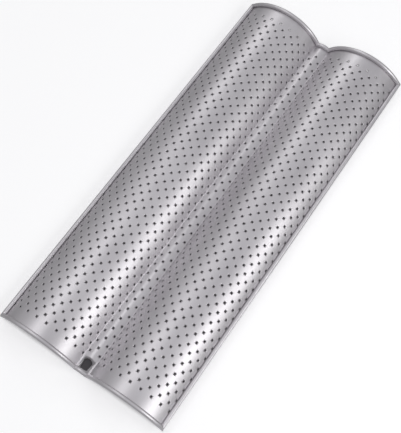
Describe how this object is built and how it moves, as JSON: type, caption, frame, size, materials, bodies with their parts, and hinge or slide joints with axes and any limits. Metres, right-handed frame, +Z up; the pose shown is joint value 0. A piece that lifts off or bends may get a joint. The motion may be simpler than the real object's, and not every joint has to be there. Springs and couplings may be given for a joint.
{
  "type": "baguette tray",
  "caption": "Perforated metal baguette tray with two round-bottomed channels, a narrow ridge between them, rolled edges and a hanging hole.",
  "frame": {"origin": "under the middle of the tray, on the surface that it stands on", "axes": "+Z up with the channels opening upwards as in use, +Y along the channels away from the hanging hole, +X across them"},
  "size_m": [0.1634, 0.38, 0.0258],
  "materials": {
    "sheet": "satin silver non-stick coating on steel sheet",
    "wire": "drawn steel wire"
  },
  "bodies": {
    "root": {"left_channel": "sheet", "right_channel": "sheet", "centre_ridge": "sheet", "near_left_curl": "sheet", "near_right_curl": "sheet", "near_ridge_curl": "sheet", "far_left_curl": "sheet", "far_right_curl": "sheet", "far_ridge_curl": "sheet", "near_left_corner_curl": "sheet", "near_right_corner_curl": "sheet", "far_left_corner_curl": "sheet", "far_right_corner_curl": "sheet", "left_side_curl": "sheet", "right_side_curl": "sheet", "left_side_wire": "wire", "right_side_wire": "wire", "near_end_wire": "wire", "far_end_wire": "wire"}
  },
  "joints": []
}
